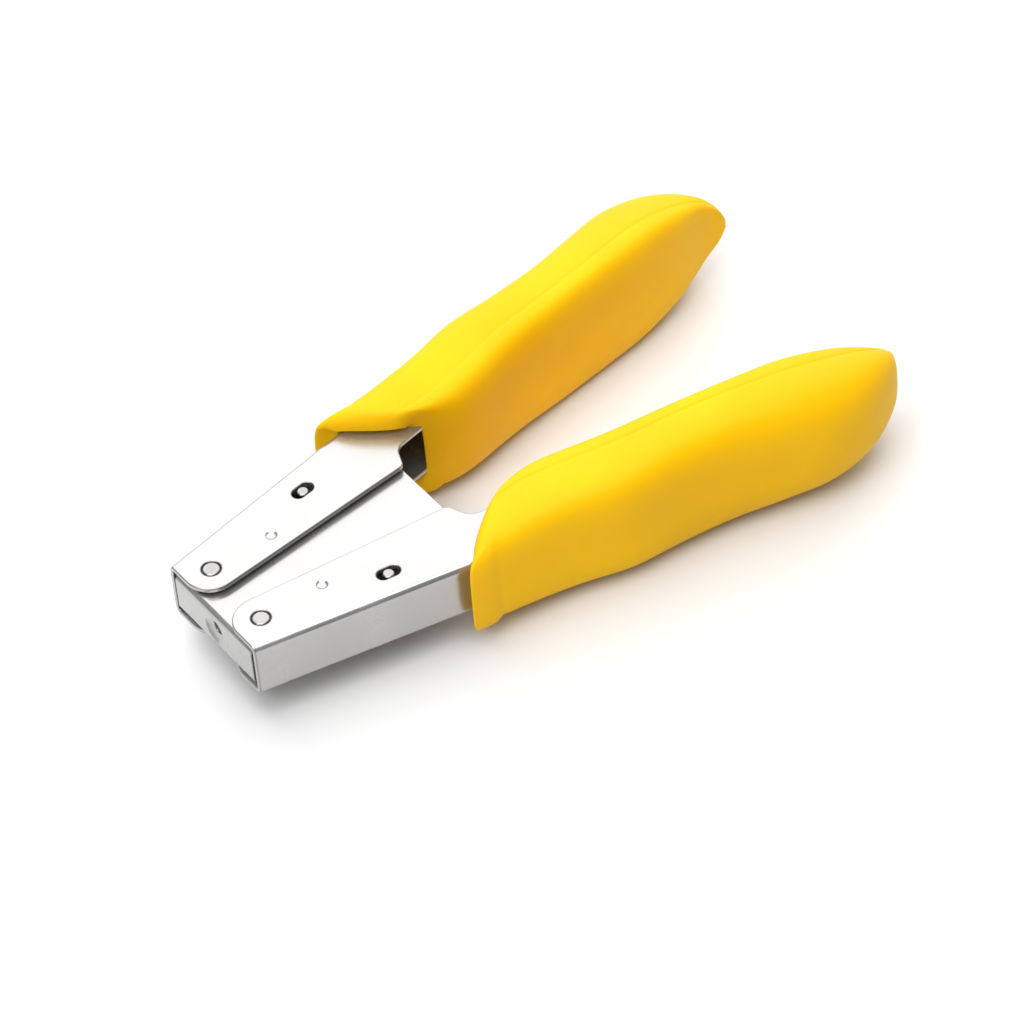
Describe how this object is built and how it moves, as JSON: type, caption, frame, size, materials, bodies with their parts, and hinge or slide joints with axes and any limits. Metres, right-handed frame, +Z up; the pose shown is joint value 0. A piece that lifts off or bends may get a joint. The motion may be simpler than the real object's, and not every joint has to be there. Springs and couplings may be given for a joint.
{
  "type": "staple gun",
  "caption": "Hand squeeze staple gun: hinged steel channel handles in moulded grips close on a folded frame and push a driver rod out through the nose.",
  "frame": {"origin": "bottom centre of the bounding box, with the handles open", "axes": "+Y from the nose to the tails of the grips, +X to the right handle, +Z up, square to the flat frame"},
  "size_m": [0.0886, 0.1646, 0.0316],
  "materials": {
    "polished_steel": "polished stainless sheet",
    "pin_steel": "turned, satin",
    "hard_steel": "hardened, oiled grey",
    "spring_steel": "bright drawn wire",
    "brass": "machined",
    "yellow_grip": "smooth satin moulding"
  },
  "bodies": {
    "frame": {"frame_shell": "polished_steel", "nose_bushing": "brass", "return_spring": "spring_steel", "right_pivot_pin": "pin_steel", "right_pivot_spacer": "pin_steel", "right_upper_washer": "brass", "right_lower_washer": "brass", "right_rear_post": "pin_steel", "right_lever_pin": "pin_steel", "left_pivot_pin": "pin_steel", "left_pivot_spacer": "pin_steel", "left_upper_washer": "brass", "left_lower_washer": "brass", "left_rear_post": "pin_steel", "left_lever_pin": "pin_steel"},
    "right_handle": {"right_handle_channel": "polished_steel", "right_grip": "yellow_grip"},
    "right_lever_arm": {"right_lever": "hard_steel", "right_drive_pin": "pin_steel"},
    "left_handle": {"left_handle_channel": "polished_steel", "left_grip": "yellow_grip"},
    "left_lever_arm": {"left_lever": "hard_steel", "left_drive_pin": "pin_steel"},
    "driver": {"driver_rod": "hard_steel", "driver_head": "hard_steel"}
  },
  "joints": [
    {"name": "right_handle_squeeze", "type": "hinge", "parent": "frame", "child": "right_handle", "pos_m": [0.0095, -0.07576, 0.01582], "axis": [0, 0, 1], "range_deg": [0, 8.2], "stiffness_Nm_per_rad": 2.5, "springref_deg": -5.73},
    {"name": "left_handle_squeeze", "type": "hinge", "parent": "frame", "child": "left_handle", "pos_m": [-0.0095, -0.07576, 0.01582], "axis": [0, 0, -1], "range_deg": [0, 8.2], "stiffness_Nm_per_rad": 2.5, "springref_deg": -5.73},
    {"name": "right_lever_turn", "type": "hinge", "parent": "frame", "child": "right_lever_arm", "pos_m": [0.0118, -0.05476, 0.01582], "axis": [0, 0, 1], "range_deg": [0, 27.9]},
    {"name": "left_lever_turn", "type": "hinge", "parent": "frame", "child": "left_lever_arm", "pos_m": [-0.0118, -0.05476, 0.01582], "axis": [0, 0, -1], "range_deg": [0, 27.9]},
    {"name": "driver_slide", "type": "slide", "parent": "frame", "child": "driver", "axis": [0, -1, 0], "range_m": [0, 0.0045], "deforming": ["return_spring"]}
  ],
  "couplings": [
    {"joint": "left_handle_squeeze", "follows": "right_handle_squeeze", "ratio": 1},
    {"joint": "right_lever_turn", "follows": "right_handle_squeeze", "ratio": 3.397},
    {"joint": "left_lever_turn", "follows": "right_handle_squeeze", "ratio": 3.397},
    {"joint": "driver_slide", "follows": "right_handle_squeeze", "m_per_rad": 0.0313}
  ]
}
